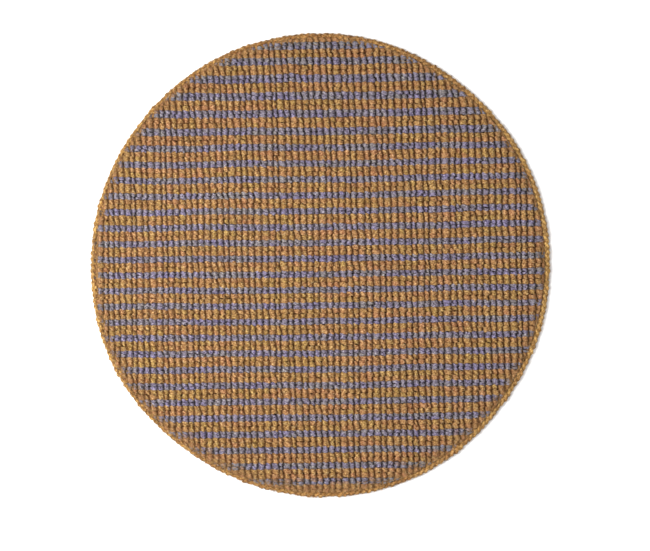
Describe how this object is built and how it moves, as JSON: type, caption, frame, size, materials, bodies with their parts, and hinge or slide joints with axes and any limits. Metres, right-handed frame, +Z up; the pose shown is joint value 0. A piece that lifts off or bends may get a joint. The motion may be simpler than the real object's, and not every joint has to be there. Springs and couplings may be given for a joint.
{
  "type": "round coir rug",
  "caption": "Round flat rug woven from thick coir yarn in narrow lavender and ochre rows over raised ribs, edged with a twisted coir cord.",
  "frame": {"origin": "middle of the rug's underside, on the floor", "axes": "+Z up out of the rug's face; the ribs run along Y and the coloured rows along X; +Y is the top of the rug as pictured"},
  "size_m": [0.8962, 0.9052, 0.014],
  "materials": {
    "coir_weave": "thick hairy coir yarn, pairs of greyed lavender rows between pairs of golden ochre rows, dull and fibrous",
    "coir_cord": "two-ply twisted coir cord, undyed golden brown, dull and fibrous"
  },
  "bodies": {
    "root": {"woven_field": "coir_weave", "rim_cord": "coir_cord"}
  },
  "joints": []
}
